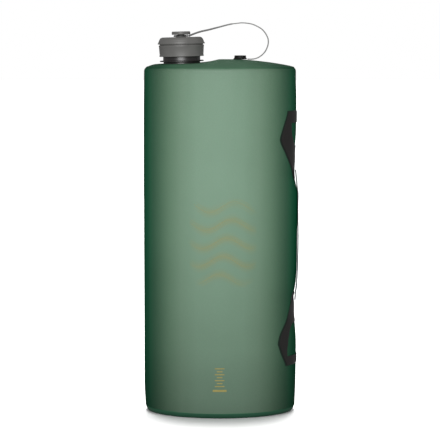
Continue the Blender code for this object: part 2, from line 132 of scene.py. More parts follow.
GASKET_PROFILE = ((0.0176, 0.0208), (0.0218, 0.0208), (0.0218, 0.0222), (0.0176, 0.0222))
PORT_PROFILE = (
    (0.0043, 0.0248), (0.0090, 0.0248), (0.0090, 0.0268), (0.0056, 0.0268), (0.0056, 0.0312),
    (0.0082, 0.0312), (0.0082, 0.0320), (0.0043, 0.0320),
)
LOOP_PROFILE = ((0.00595, 0.0298), (0.0085, 0.0298), (0.0085, 0.0310), (0.00595, 0.0310))
PLUG_LOW = 0.0323
PLUG_TOP = 0.0359
PLUG_HEAD = 0.0105
PLUG_EDGE = 0.0012
PLUG_DISH = 0.00025
PLUG_DISH_EDGE = 0.0070
# The plug's finger lip starts this far from its axis, and is cut away below by this much
LIP_START = 0.0052
LIP_BLEND = 0.0016
LIP_CUT = 0.0014
PLUG_STEM = (
    (0.0004, 0.0250), (0.0033, 0.0250), (0.0039, 0.0257), (0.0039, 0.0272), (0.0029, 0.0272),
    (0.0029, 0.0287), (0.0039, 0.0287), (0.0039, PLUG_LOW),
)
PLUG_RING_MIDDLE = (0.0036, 0.02795)
PLUG_RING_WIRE = 0.00055
# Threads: (root radius, crest radius, height where the first turn starts, first turn, last turn)
NECK_THREAD = (0.0196, 0.0210, 0.0106, 0.04, 1.5)
CAP_THREAD = (0.0224, 0.0203, 0.0081, 0.55, 1.72)
THREAD_PITCH = 0.005
THREAD_WIDTH = 0.0020

# Tether: (x, height) of its route, from the ring to the stud
TETHER_WIDTH = 0.0070
TETHER_THICK = 0.0020
TETHER_TAPER = 0.20  # share of its thickness that the arm loses on its way
TETHER_TAPER_START = -0.020
TETHER_TAPER_LENGTH = 0.030
TETHER_THIN = 0.0012
TETHER_STEP_X = 0.0140
TETHER_STEP_LENGTH = 0.0012
TETHER_ROUTE = (
    (-0.0353, 0.4307), (-0.0325, 0.4320), (-0.0226, 0.4355), (-0.0125, 0.4378), (-0.0013, 0.4407),
    (0.0113, 0.4439), (0.0180, 0.4448), (0.0255, 0.4455), (0.0352, 0.4443), (0.0412, 0.4420),
    (0.0474, 0.4383), (0.0517, 0.4332), (0.0543, 0.4276), (0.0546, 0.4231), (0.0536, 0.4185),
    (0.0511, 0.4134), (0.0469, 0.4089), (0.0415, 0.4058), (0.0365, 0.4048), (0.0312, 0.4048),
)
# Carry strap: (height, x) of its route
STRAP_HALF_WIDTH = 0.0075
STRAP_THICK = 0.0010
STRAP_ROUTE = (
    (0.1290, 0.0863), (0.1374, 0.0869), (0.1467, 0.0881), (0.1560, 0.0886), (0.1700, 0.0892),
    (0.1830, 0.0895), (0.1978, 0.0896), (0.2116, 0.0895), (0.2255, 0.0893), (0.2439, 0.0891),
    (0.2531, 0.0890), (0.2577, 0.0884), (0.2623, 0.0879), (0.2669, 0.0876), (0.2714, 0.0870),
    (0.2790, 0.0863),
)
TAB_THICK = 0.0008
TAB_GAP = 0.0001
TAB_BEVEL = 0.0003
WELD_SPREAD = 0.0012
WELD_LIFT = 0.0001
WELD_THICK = 0.0003
# Tab outlines: (height, half width of the tab, half width of its window)
UPPER_TAB = (
    (0.3462, 0.0213, 0.0160), (0.3400, 0.0228, 0.0168), (0.3336, 0.0246, 0.0175), (0.3257, 0.0266, 0.0172),
    (0.3191, 0.0279, 0.0160), (0.3152, 0.0283, 0.0138), (0.3111, 0.0275, 0.0110), (0.3072, 0.0262, 0.0088),
    (0.3020, 0.0239, 0.0070), (0.2950, 0.0208, 0.0060), (0.2879, 0.0171, 0.0050), (0.2806, 0.0122, 0.0040),
    (0.2740, 0.0090, 0.0035), (0.2700, 0.0078, 0.0030),
)
UPPER_WINDOW = (0.3072, 0.3336)
LOWER_TAB = (
    (0.0573, 0.0229, 0.0215), (0.0631, 0.0249, 0.0220), (0.0672, 0.0262, 0.0224), (0.0720, 0.0276, 0.0228),
    (0.0779, 0.0288, 0.0225), (0.0827, 0.0297, 0.0216), (0.0872, 0.0292, 0.0214), (0.0917, 0.0285, 0.0201),
    (0.0960, 0.0272, 0.0193), (0.1003, 0.0254, 0.0172), (0.1040, 0.0236, 0.0130), (0.1087, 0.0210, 0.0090),
    (0.1130, 0.0192, 0.0080), (0.1174, 0.0176, 0.0070), (0.1217, 0.0158, 0.0060), (0.1260, 0.0142, 0.0050),
    (0.1302, 0.0115, 0.0040), (0.1345, 0.0098, 0.0035), (0.1380, 0.0080, 0.0030),
)
LOWER_WINDOW = (0.0672, 0.1040)

# Prints
INK_LIFT = 0.00015
EMBLEM_MIDDLE = (0.0030, 0.2005)
EMBLEM_HALF_WIDE = 0.0386
EMBLEM_HALF_HIGH = 0.0525
EMBLEM_WAVES = 5
EMBLEM_STEP = 0.0205
EMBLEM_SWELL = 0.0060
EMBLEM_TURNS = 1.4  # half turns of each wave, from its middle to its end
EMBLEM_SHIFT = 0.5  # phase between one wave and the next
EMBLEM_TAPER = 0.35  # power with which dots shrink to the emblem's edge
DOT_PITCH = 0.0024
DOT_ROW_PITCH = DOT_PITCH * 0.87
DOT_ROWS = 3  # rows of dots above and below a wave's crest
DOT_ROW_FADE = 4.6  # the row, counted from the crest, in which dots would vanish
DOT_RADIUS = 0.00085
DOT_LEAST = 0.0002
GAUGE_X = -0.0004
GAUGE_LOW = 0.0325
GAUGE_HALF_WIDE = 0.0078
GAUGE_BAR = 0.0012  # half height of the bar
GAUGE_TICK = 0.0006  # half height of a tick
GAUGE_TICKS = 7
GAUGE_FIRST = 0.0050  # first tick's height over the bar
GAUGE_STEP = 0.0034
GAUGE_LONG = 0.7  # a long tick's share of the bar's width
GAUGE_SHORT = 0.4

# Camera and light
EYE_HEIGHT = 0.4375
EYE_DISTANCE = 1.8
LOOK_HEIGHT = 0.2214
LENS = 129.5
AMBIENT = 0.25
FLOOR_HALF = 12.0
OVERHEAD_FROM = (0.0, 0.123, 1.0)
OVERHEAD_POWER = 4.6
OVERHEAD_SPREAD = math.radians(12.5)
BAG_MIDDLE = (0.0, 0.0, 0.22)
# Softboxes: (place, side, power)
KEY = ((-0.15, -2.0, 0.95), 1.3, 30)
BACK = ((0.3, 2.0, 0.9), 1.4, 22)

# Looks: (share, colour) or (share, brightness)
# The film's colour from the middle of the bag to its side, with painted shade taking it to deep green at the
# side, and its brightness from the base to the top, which is painted shade
FILM_COLOUR_AND_SHADE_ACROSS = (
    (0.00, (0.263, 0.428, 0.302)), (0.30, (0.260, 0.420, 0.296)), (0.50, (0.224, 0.365, 0.252)),
    (0.66, (0.156, 0.280, 0.182)), (0.78, (0.093, 0.195, 0.120)), (0.86, (0.055, 0.145, 0.086)),
    (0.91, (0.034, 0.138, 0.073)), (0.94, (0.018, 0.119, 0.059)), (1.00, (0.0037, 0.101, 0.042)),
)
# The top film's colour from the middle of the bag to its ends, with painted shade taking it to deep green at
# the ends
TOP_COLOUR_AND_SHADE_ACROSS = (
    (0.00, (0.104, 0.216, 0.136)), (0.30, (0.100, 0.210, 0.131)), (0.50, (0.082, 0.182, 0.110)),
    (0.66, (0.056, 0.148, 0.086)), (0.78, (0.031, 0.106, 0.057)), (0.90, (0.020, 0.094, 0.048)),
    (1.00, (0.018, 0.090, 0.045)),
)
# Painted shade: the side film's brightness from the base to the top, darkest at the base
PAINTED_SHADE_UPRIGHT = (
    (0.0, 0.40), (0.02, 0.49), (0.06, 0.565), (0.11, 0.625), (0.20, 0.755), (0.34, 0.855), (0.52, 0.98),
    (0.70, 1.0), (0.82, 0.97), (0.90, 0.945), (0.965, 0.915), (0.985, 0.88), (0.992, 0.83), (1.0, 0.70),
)

# ---------------------------------------------------------------- shader helpers


class Shader:
    """A Principled material, with short calls for the nodes that feed it."""

    def __init__(self, name, roughness):
        self.material = bpy.data.materials.new(name)
        self.material.use_nodes = True
        self.tree = self.material.node_tree
        self.principled = self.tree.nodes["Principled BSDF"]
        self.set("Roughness", roughness)

    def set(self, socket, value):
        self.principled.inputs[socket].default_value = value

    def feed(self, socket, output):
        self.tree.links.new(output, self.principled.inputs[socket])

    def node(self, kind, **inputs):
        made = self.tree.nodes.new(kind)
        for key, value in inputs.items():
            target = made.inputs[int(key[1:])] if key[1:].isdigit() else made.inputs[key.replace("_", " ")]
            if isinstance(value, bpy.types.NodeSocket):
                self.tree.links.new(value, target)
            else:
                target.default_value = value
        return made

    def math(self, operation, first, second=0.0, third=0.0):
        made = self.node("ShaderNodeMath", i0=first, i1=second, i2=third)
        made.operation = operation
        return made.outputs[0]

    def place(self):
        """The x, y and z of the surface point in the object's own metres."""
        where = self.node("ShaderNodeTexCoord").outputs["Object"]
        return where, self.node("ShaderNodeSeparateXYZ", Vector=where).outputs

    def noise(self, where, scale, detail=3.0, roughness=0.5):
        made = self.node("ShaderNodeTexNoise", Vector=where, Scale=scale, Detail=detail, Roughness=roughness)
        return made.outputs["Fac"]

    def ramp(self, share, stops, smooth=False):
        """Colours or greys along a share from 0 to 1."""
        made = self.node("ShaderNodeValToRGB", Fac=share)
        band = made.color_ramp
        band.interpolation = "EASE" if smooth else "LINEAR"
        while len(band.elements) < len(stops):
            band.elements.new(0.5)
        for element, (position, colour) in zip(band.elements, stops):
            element.position = position
            element.color = (*colour, 1.0) if isinstance(colour, tuple) else (colour, colour, colour, 1.0)
        return made.outputs["Color"]

    def mix(self, kind, share, first, second):
        made = self.tree.nodes.new("ShaderNodeMix")
        made.data_type = "RGBA"
        made.blend_type = kind
        for index, value in ((0, share), (6, first), (7, second)):
            if isinstance(value, bpy.types.NodeSocket):
                self.tree.links.new(value, made.inputs[index])
            elif index:
                made.inputs[index].default_value = (*value, 1.0)
            else:
                made.inputs[index].default_value = value
        return made.outputs[2]

    def bump(self, height, strength, distance):
        made = self.node("ShaderNodeBump", Height=height, Strength=strength, Distance=distance)
        self.feed("Normal", made.outputs["Normal"])


def film_look():
    """Satin film: clear sage in the middle of a face, with painted shade taking it to deep green towards the
    bag's sides, and darker towards the base and the top rim.
    """
    shader = Shader("sage_film", 0.42)
    where, (x, _, z) = shader.place()
    share = shader.math("DIVIDE", shader.math("ABSOLUTE", x), HALF_WIDTH)
    # Painted shade: the sage colour darkens to deep green towards the bag's sides
    body = shader.ramp(share, FILM_COLOUR_AND_SHADE_ACROSS)
    # Painted shade: the film is darker towards the base and just under the top rim
    height_shade = shader.ramp(shader.math("DIVIDE", z, RIM_HIGH), PAINTED_SHADE_UPRIGHT)
    shaded = shader.mix("MULTIPLY", 1.0, body, height_shade)
    cloud = shader.ramp(shader.noise(where, 14.0, 2.0), ((0.3, 0.95), (0.7, 1.0)))
    grain = shader.ramp(shader.noise(where, 900.0, 2.0), ((0.35, 0.96), (0.65, 1.0)))
    shader.feed("Base Color", shader.mix("MULTIPLY", 1.0, shader.mix("MULTIPLY", 1.0, shaded, cloud), grain))
    smear = shader.noise(where, 30.0, 3.0)
    shader.feed("Roughness", shader.math("MULTIPLY_ADD", smear, 0.12, 0.36))
    shader.set("Subsurface Weight", 0.10)
    shader.set("Subsurface Radius", (0.004, 0.007, 0.005))
    shader.set("Subsurface Scale", 1.0)
    shine = shader.ramp(share, ((0.0, 0.20), (0.70, 0.18), (0.90, 0.03), (1.0, 0.0)))
    shader.feed("Specular IOR Level", shine)
    shader.bump(shader.noise(where, 2600.0, 2.0), 0.10, 0.0002)
    return shader.material


def top_film_look():
    """The doubled film of the top: painted shade takes it to deep green at the ends, and it is darker round
    the closure's weld.
    """
    shader = Shader("top_film", 0.50)
    where, (x, y, _) = shader.place()
    away_x = shader.math("SUBTRACT", x, CLOSURE.x)
    square = shader.math("ADD", shader.math("MULTIPLY", away_x, away_x), shader.math("MULTIPLY", y, y))
    away = shader.math("MULTIPLY", shader.math("SQRT", square), 10.0)
    weld = shader.ramp(away, ((0.0, 0.5), (0.26, 0.55), (0.29, 0.92), (0.35, 1.0)))
    share = shader.math("DIVIDE", shader.math("ABSOLUTE", x), HALF_WIDTH)
    # Painted shade: the top film darkens towards the bag's ends
    body = shader.mix("MULTIPLY", 1.0, shader.ramp(share, TOP_COLOUR_AND_SHADE_ACROSS), weld)
    cloud = shader.ramp(shader.noise(where, 40.0, 3.0), ((0.3, 0.90), (0.7, 1.0)))
    shader.feed("Base Color", shader.mix("MULTIPLY", 1.0, body, cloud))
    shader.set("Specular IOR Level", 0.05)
    shader.bump(shader.noise(where, 1800.0, 2.0), 0.10, 0.0002)
    return shader.material


def base_film_look():
    """The base film, with painted shade: darker towards the floor and paler towards its rim."""
    shader = Shader("base_film", 0.45)
    where, (_, _, z) = shader.place()
    # Painted shade: the base film darkens towards the floor under the bag
    rise = shader.ramp(shader.math("MULTIPLY", z, 100.0), (
        (0.0, (0.016, 0.066, 0.038)), (0.5, (0.030, 0.110, 0.062)), (0.9, (0.055, 0.145, 0.088)),
    ))
    cloud = shader.ramp(shader.noise(where, 60.0, 3.0), ((0.3, 0.85), (0.7, 1.0)))
    shader.feed("Base Color", shader.mix("MULTIPLY", 1.0, rise, cloud))
    shader.set("Specular IOR Level", 0.15)
    shader.bump(shader.noise(where, 1500.0, 2.0), 0.12, 0.0002)
    return shader.material


def moulded_look(name, colour, roughness, grain=1400.0, depth=0.00012, specular=0.5):
    """Moulded plastic: a fine spark-eroded grain, faint cloudiness and slightly worn gloss."""
    shader = Shader(name, roughness)
    where, _ = shader.place()
    cloud = shader.ramp(shader.noise(where, 90.0, 3.0), ((0.3, 0.86), (0.7, 1.0)))
    shader.feed("Base Color", shader.mix("MULTIPLY", 1.0, colour, cloud))
    wear = shader.noise(where, 160.0, 4.0)
    shader.feed("Roughness", shader.math("MULTIPLY_ADD", wear, 0.16, roughness - 0.08))
    shader.set("Specular IOR Level", specular)
    shader.bump(shader.noise(where, grain, 2.0), 0.25, depth)
    return shader.material


def tether_look():
    """The tether: a firm grey arm from the cap, and a paler, thinner strap beyond its step."""
    shader = Shader("tether_strap_look", 0.45)
    where, (x, _, _) = shader.place()
    run = shader.math("MULTIPLY_ADD", x, 15.0, 0.5)
    colour = shader.ramp(run, (
        (0.0, (0.12, 0.12, 0.117)), (0.68, (0.25, 0.25, 0.245)), (0.74, (0.33, 0.33, 0.325)),
    ))
    cloud = shader.ramp(shader.noise(where, 120.0, 3.0), ((0.3, 0.88), (0.7, 1.0)))
    shader.feed("Base Color", shader.mix("MULTIPLY", 1.0, colour, cloud))
    shader.bump(shader.noise(where, 1600.0, 2.0), 0.15, 0.0001)
    return shader.material


def webbing_look():
    """Flat woven webbing: fine cross ribs and lengthwise ends."""
    rib, end = 0.0011, 0.0014
    shader = Shader("strap_webbing", 0.72)
    where, (_, y, z) = shader.place()
    ribs = shader.math("SINE", shader.math("MULTIPLY", z, 2 * math.pi / rib))
    ends = shader.math("SINE", shader.math("MULTIPLY", y, 2 * math.pi / end))
    weave = shader.math("MULTIPLY", ribs, ends)
    share = shader.math("MULTIPLY_ADD", weave, 0.5, 0.5)
    colour = shader.ramp(share, ((0.0, (0.190, 0.235, 0.210)), (1.0, (0.330, 0.390, 0.350))))
    fibre = shader.ramp(shader.noise(where, 1500.0, 2.0), ((0.3, 0.8), (0.7, 1.0)))
    shader.feed("Base Color", shader.mix("MULTIPLY", 1.0, colour, fibre))
    shader.set("Sheen Weight", 0.15)
    shader.bump(share, 0.5, 0.0002)
    return shader.material


def print_look():
    """Gold ink on the film, slightly uneven."""
    shader = Shader("gold_print", 0.5)
    where, _ = shader.place()
    thin, full = (0.34, 0.30, 0.085), (0.42, 0.36, 0.115)
    shader.feed("Base Color", shader.ramp(shader.noise(where, 260.0, 3.0), ((0.3, thin), (0.7, full))))
    return shader.material


def floor_look():
    """A plain pale floor with no shine."""
    shader = Shader("floor", 0.8)
    shader.set("Base Color", (0.92, 0.92, 0.92, 1.0))
    shader.set("Specular IOR Level", 0.0)
    return shader.material


# ---------------------------------------------------------------- shape helpers


def ease(share):
    """A share from 0 to 1 with a soft start and end."""
    share = min(max(share, 0.0), 1.0)
    return share * share * (3.0 - 2.0 * share)


def along(stations, at):
    """The smooth curve through (position, value) stations, as a cubic with averaged slopes."""
    last = len(stations) - 1
    k = max(i for i in range(last) if i == 0 or stations[i][0] <= at)

    def slope(i):
        before, after = stations[max(i - 1, 0)], stations[min(i + 1, last)]
        return (after[1] - before[1]) / (after[0] - before[0])

    (x0, y0), (x1, y1) = stations[k], stations[k + 1]
    span = x1 - x0
    t = min(max((at - x0) / span, 0.0), 1.0)
    bend0, bend1 = slope(k) * span, slope(k + 1) * span
    return (
        y0 * (1 + 2 * t) * (1 - t) ** 2 + bend0 * t * (1 - t) ** 2
        + y1 * t * t * (3 - 2 * t) + bend1 * t * t * (t - 1)
    )


def smooth_route(points, steps):
    """Evenly spaced points of the smooth curve through a route's own points."""
    lengths = [0.0]
    for before, after in zip(points, points[1:]):
        lengths.append(lengths[-1] + math.dist(before, after))
    firsts = list(zip(lengths, [p[0] for p in points]))
    seconds = list(zip(lengths, [p[1] for p in points]))
    marks = [lengths[-1] * i / steps for i in range(steps + 1)]
    return [(along(firsts, mark), along(seconds, mark)) for mark in marks], lengths[-1]


def link(name, shape, look, slot, body, *nodes):
    """Links a bmesh as a finished piece on a body, in place of CAD nodes if any are named."""
    bmesh.ops.recalc_face_normals(shape, faces=shape.faces)
    mesh = bpy.data.meshes.new(name)
    shape.to_mesh(mesh)
    shape.free()
    mesh.shade_smooth()
    mesh.set_sharp_from_angle(angle=math.radians(40))
    mesh.materials.append(look)
    made = bpy.data.objects.new(name, mesh)
    bpy.context.collection.objects.link(made)
    if body:
        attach(made, body)
    if nodes:
        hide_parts(*nodes)
    return made


def add_grid(shape, points, closed=False):
    """Vertices and quads of a grid of points, rows first."""
    verts = [[shape.verts.new(point) for point in row] for row in points]
    for low, high in zip(verts, verts[1:]):
        count = len(low)
        for i in range(count if closed else count - 1):
            j = (i + 1) % count
            shape.faces.new((low[i], low[j], high[j], high[i]))
    return verts


def sheet(points, thickness, closed=False):
    """A sheet of even thickness behind a grid of surface points, with its edges closed."""
    outer = np.array(points, float)
    down = np.gradient(outer, axis=0)
    if closed:
        wrapped = np.concatenate([outer[:, -1:], outer, outer[:, :1]], axis=1)
        side = np.gradient(wrapped, axis=1)[:, 1:-1]
    else:
        side = np.gradient(outer, axis=1)
    normal = np.cross(side, down)
    normal /= np.maximum(np.linalg.norm(normal, axis=2, keepdims=True), 1e-12)
    inner = outer - normal * thickness
    shape = bmesh.new()
    front, back = add_grid(shape, outer, closed), add_grid(shape, inner, closed)
    columns = len(front[0])
    for row in (0, -1):
        for i in range(columns if closed else columns - 1):
            j = (i + 1) % columns
            shape.faces.new((front[row][i], front[row][j], back[row][j], back[row][i]))
    if not closed:
        for k in range(len(front) - 1):
            for i in (0, -1):
                shape.faces.new((front[k][i], front[k + 1][i], back[k + 1][i], back[k][i]))
    return shape


def tube(shape, centres, section):
    """A tube whose section, a list of (sideways, up) offsets, follows a closed line in 3-D."""
    count = len(centres)
    rows = []
    for i, centre in enumerate(centres):
        way = (centres[(i + 1) % count] - centres[(i - 1) % count]).normalized()
        out = way.cross(Vector((0, 0, 1))).normalized()
        up = out.cross(way)
        rows.append([centre + out * a + up * b for a, b in section])
    ring(shape, rows)


def ring(shape, rows):
    """Joins rows of section points into a ring."""
    add_grid(shape, [*rows, rows[0]], True)
    bmesh.ops.remove_doubles(shape, verts=shape.verts, dist=1e-7)


def bar(shape, rows):
    """Joins rows of section points into a bar with closed ends."""
    verts = add_grid(shape, rows, True)
    shape.faces.new(verts[0])
    shape.faces.new(reversed(verts[-1]))


def heading(middle, i):
    """The direction of a route in the x-z plane at one of its points."""
    before, after = middle[max(i - 1, 0)], middle[min(i + 1, len(middle) - 1)]
    return Vector((after[0] - before[0], 0, after[1] - before[1])).normalized()


def circle(radius, steps):
    """The (sideways, up) points of a circle."""
    return [
        (radius * math.cos(2 * math.pi * i / steps), radius * math.sin(2 * math.pi * i / steps))
        for i in range(steps)
    ]


def rounded(profile, radius, steps=3):
    """A closed (radius, height) outline with its corners rounded as far as they have room for."""
    points = []
    count = len(profile)
    for i in range(count):
        corner = Vector(profile[i])
        to_before, to_after = Vector(profile[i - 1]) - corner, Vector(profile[(i + 1) % count]) - corner
        turn = to_before.angle(to_after)
        cut = min(radius / math.tan(turn / 2), to_before.length * 0.45, to_after.length * 0.45)
        if math.pi - turn < math.radians(20):
            points.append(tuple(corner))
            continue
        start, end = corner + to_before.normalized() * cut, corner + to_after.normalized() * cut
        for k in range(steps + 1):
            t = k / steps
            points.append(tuple(start * (1 - t) ** 2 + corner * 2 * t * (1 - t) + end * t * t))
    return points


def turn(shape, profile, steps=112, base=CLOSURE_FRAME):
    """A ring turned round the closure's axis, or that of another frame, from a closed outline."""
    rows = []
    for i in range(steps):
        angle = 2 * math.pi * i / steps
        cosine, sine = math.cos(angle), math.sin(angle)
        rows.append([base @ Vector((r * cosine, r * sine, h)) for r, h in profile])
    ring(shape, rows)


def arc(centre, radius, start, stop, steps):
    """Points of an arc between two angles, in degrees."""
    points = []
    for i in range(steps + 1):
        angle = math.radians(start + (stop - start) * i / steps)
        points.append((centre[0] + radius * math.cos(angle), centre[1] + radius * math.sin(angle)))
    return points


def helix(shape, root, crest, start, first, last):
    """A thread ridge with rounded flanks that fades in and out at its ends."""
    steps, faded, least = 72, 9, 0.1
    rows = []
    count = round((last - first) * steps)
    for i in range(count + 1):
        part = first + (last - first) * i / count
        fade = ease(min(i, count - i) / faded)
        rise = (crest - root) * (least + (1 - least) * fade)
        flank, foot, tip = THREAD_WIDTH * 0.36, THREAD_WIDTH / 2, THREAD_WIDTH * 0.2
        section = (
            (root, -foot), (root + rise * 0.7, -flank), (root + rise, -tip),
            (root + rise, tip), (root + rise * 0.7, flank), (root, foot),
        )
        angle, height = 2 * math.pi * part, start + THREAD_PITCH * part
        cosine, sine = math.cos(angle), math.sin(angle)
        rows.append([CLOSURE_FRAME @ Vector((r * cosine, r * sine, height + h)) for r, h in section])
    bar(shape, rows)


def flatten_with_bag(made):
    """A film piece on the bottle gets its own copy of its mesh."""
    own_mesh(made)


# ---------------------------------------------------------------- the bag


def bag_point(angle, z, out=0.0):
    """A point of the bag's outer face, at an angle round the oval from +X, moved out by a distance."""
    level = min(max(z, RIM_LOW), RIM_HIGH)
    half_width = along(BODY_SIDE, level)
    pull = along(HANDLE_SIDE, level) - half_width
    cosine, sine = math.cos(angle), math.sin(angle)
    x = half_width * cosine + pull * max(cosine, 0.0) ** HANDLE_PULL_POWER
    normal = Vector((cosine / half_width, sine / HALF_DEPTH)).normalized()
    return Vector((x + out * normal.x, HALF_DEPTH * sine + out * normal.y, z))


def slack(angle, z):
    """How far the film stands off the bag's plain shape: waves, pulls from the rims, and the welds."""
    point = Vector((math.cos(angle) * 2.2, math.sin(angle) * 2.2, z * 11.0))
    waves = noise.noise(point) * SLACK_WAVE
    near_rim = math.exp(-(RIM_HIGH - z) / TOP_REACH) + math.exp(-(z - RIM_LOW) / BASE_REACH)
    pulls = noise.noise(Vector((angle * 9.0, 3.7, z * 6.0))) * SLACK_PULL * near_rim
    from_seam = abs((angle / math.pi + 0.5) % 1.0 - 0.5)
    weld = SIDE_WELD * (1 - ease((from_seam - WELD_HALF) / WELD_FADE))
    return (waves + pulls) * ease(from_seam / SLACK_FADE) + weld


def side_point(y, z, out):
    """A point off the film round the bag's handle side."""
    angle = math.asin(max(min(y / HALF_DEPTH, 1.0), -1.0))
    return bag_point(angle, z, slack(angle, z) + out)


def tube_half(start):
    """The outer face of half the tube, from one side seam to the other, with its shoulder at the top."""
    columns, rows, curve = 128, 150, 8
    edge = 2 * SEAM_Y / HALF_DEPTH
    wall_top = RIM_HIGH - SHOULDER * math.sin(SHOULDER_ANGLE)
    stops = [(RIM_LOW + (wall_top - RIM_LOW) * i / rows, 0.0) for i in range(rows)]
    for k in range(curve + 1):
        turned = SHOULDER_ANGLE * k / curve
        stops.append((wall_top + SHOULDER * math.sin(turned), SHOULDER * (1 - math.cos(turned))))
    angles = [start + edge + (math.pi - 2 * edge) * k / columns for k in range(columns + 1)]
    grid = []
    for z, inset in stops:
        grid.append([bag_point(angle, z, slack(angle, z) - inset) for angle in angles])
    return grid


def add_side_films(look):
    """The two halves of the tube, each on a body of its own."""
    for name, start, body, node, side in (
        ("front_skin", math.pi, "front_film", "front_panel", -1),
        ("back_skin", 0.0, "back_film", "back_panel", 1),
    ):
        made = link(name, sheet(tube_half(start), FILM), look, "film", body, node)
        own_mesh(made)


def rim_distance(angle):
    """How far the top's rim is from the closure's axis, in the direction of an angle."""
    wide, deep = TOP_WIDTH - TOP_INSET, HALF_DEPTH - TOP_INSET
    cosine, sine = math.cos(angle), math.sin(angle)
    a = (cosine / wide) ** 2 + (sine / deep) ** 2
    b = CLOSURE.x * cosine / wide**2
    c = (CLOSURE.x / wide) ** 2 - 1.0
    return (math.sqrt(b * b - a * c) - b) / a


def top_height(x, y):
    """The height of the top film: a dome, flat where the closure is welded in, with a few soft dents."""
    wide, deep = TOP_WIDTH - TOP_INSET, HALF_DEPTH - TOP_INSET
    inside = max(1.0 - (x / wide) ** 2 - (y / deep) ** 2, 0.0)
    dome = RIM_HIGH + TOP_GAP + TOP_RISE * inside**DOME_POWER * (1.0 + DOME_TILT * x / HALF_WIDTH)
    dome += noise.noise(Vector((x * 38, y * 38, 1.3))) * TOP_DENT * ease(inside * 3)
    away = math.hypot(x - CLOSURE.x, y)
    blend_end = min(SEAT_BLEND, rim_distance(math.atan2(y, x - CLOSURE.x)))
    share = ease((away - SEAT_FLAT) / (blend_end - SEAT_FLAT))
    seat = CLOSURE.z - (x - CLOSURE.x) * CLOSURE_AXIS.x / CLOSURE_AXIS.z
    return seat * (1 - share) + dome * share


def add_top_film(look):
    """The domed top, from the neck's hole to the rim."""
    spokes, rings = 160, 40
    grid = []
    for k in range(rings + 1):
        row = []
        for i in range(spokes):
            angle = 2 * math.pi * i / spokes
            away = NECK_HOLE + (rim_distance(angle) - NECK_HOLE) * k / rings
            x, y = CLOSURE.x + away * math.cos(angle), away * math.sin(angle)
            row.append((x, y, top_height(x, y)))
        grid.append(row[::-1])
    made = link("top_skin", sheet(grid, FILM, closed=True), look, "film", "bottle", "top_panel")
    flatten_with_bag(made)


def add_base_film(look):
    """The base: flat over most of its width, and rounded up to the lower rim, with shallow radial puckers."""
    spokes, rings = 160, 16
    angles = [2 * math.pi * i / spokes for i in range(spokes)]
    grid = []
    for k in range(rings + 1):
        turned_in = math.pi / 2 * k / rings
        share = FOOT_FLAT + (1 - FOOT_FLAT) * math.cos(turned_in)
        row = []
        for angle in angles:
            pucker = noise.noise(Vector((math.cos(angle) * 7, math.sin(angle) * 7, 5.1))) * BASE_PUCKER
            inward = share - abs(pucker) / BASE_WIDTH * math.sin(turned_in * 2)
            x, y = BASE_WIDTH * inward * math.cos(angle), HALF_DEPTH * inward * math.sin(angle)
            row.append((x, y, RIM_LOW * (1 - math.sin(turned_in))))
        grid.append(row)
    for share in (0.8, 0.5, 0.2, 0.02):
        grid.append([(x * share, y * share, 0.0) for x, y, _ in grid[rings]])
    made = link("base_skin", sheet(grid, -FILM, closed=True), look, "film", "bottle", "bottom_panel")
    flatten_with_bag(made)


def add_seam_beads(look):
    """The rounded weld beads where the tube meets the top and the base."""
    steps = 200
    for name, z, inset, radius in (
        ("top_seam_bead", RIM_HIGH + 0.0002, TOP_INSET + 0.0002, TOP_BEAD),
        ("base_seam_bead", RIM_LOW, 0.0004, BASE_BEAD),
    ):
        shape = bmesh.new()
        tube(shape, [bag_point(2 * math.pi * i / steps, z, -inset) for i in range(steps)], circle(radius, 8))
        flatten_with_bag(link(name, shape, look, "film", "bottle"))


def add_side_seams(look):
    """The flat welds where the front and back films meet, one down each side."""
    steps = 120
    section = ((-0.0012, -0.0006), (-0.0010, 0.0001), (0.0010, 0.0001), (0.0012, -0.0006))
    wall_top = RIM_HIGH - SHOULDER * math.sin(SHOULDER_ANGLE)
    for name, angle in (("handle_side_weld", 0.0), ("plain_side_weld", math.pi)):
        rows = []
        for i in range(steps + 1):
            z = RIM_LOW + (wall_top - RIM_LOW) * i / steps
            stand = slack(angle, z)
            rows.append([bag_point(angle, z, stand + out) + Vector((0, side, 0)) for side, out in section])
        shape = bmesh.new()
        bar(shape, rows)
        flatten_with_bag(link(name, shape, look, "film", "bottle"))


# ---------------------------------------------------------------- the prints


def front_point(x, z):
    """A point just off the front film."""
    angle = 2 * math.pi - math.acos(max(min(x / along(BODY_SIDE, z), 1.0), -1.0))
    return bag_point(angle, z, slack(angle, z) + INK_LIFT)


def add_ink(shape, outline):
    """A patch of ink on the front film, from the (x, z) points of its outline."""
    face = [front_point(x, z) for x, z in outline]
    bar(shape, [face, [point + Vector((0, INK_LIFT * 2, 0)) for point in face]])


def add_emblem(look):
    """A plain emblem of halftone waves: rows of dots that swell in the middle of each wave."""
    shape = bmesh.new()
    across = round(EMBLEM_HALF_WIDE / DOT_PITCH)
    for band in range(EMBLEM_WAVES):
        centre = EMBLEM_MIDDLE[1] + ((EMBLEM_WAVES - 1) / 2 - band) * EMBLEM_STEP
        for i in range(-across, across + 1):
            x = i * DOT_PITCH
            share = x / EMBLEM_HALF_WIDE
            crest = centre + EMBLEM_SWELL * math.sin(share * math.pi * EMBLEM_TURNS + band * EMBLEM_SHIFT)
            for k in range(-DOT_ROWS, DOT_ROWS + 1):
                z = crest + k * DOT_ROW_PITCH
                high = (z - EMBLEM_MIDDLE[1]) / EMBLEM_HALF_HIGH
                taper = max(1.0 - share**4 - high**4, 0.0) ** EMBLEM_TAPER
                size = DOT_RADIUS * (1 - abs(k) / DOT_ROW_FADE) * taper
                if size > DOT_LEAST:
                    middle = EMBLEM_MIDDLE[0] + x + (k % 2) * DOT_PITCH / 2
                    add_ink(shape, [(middle + a, z + b) for a, b in circle(size, 8)])
    flatten_print(link("emblem_waves", shape, look, "film", "front_film"))


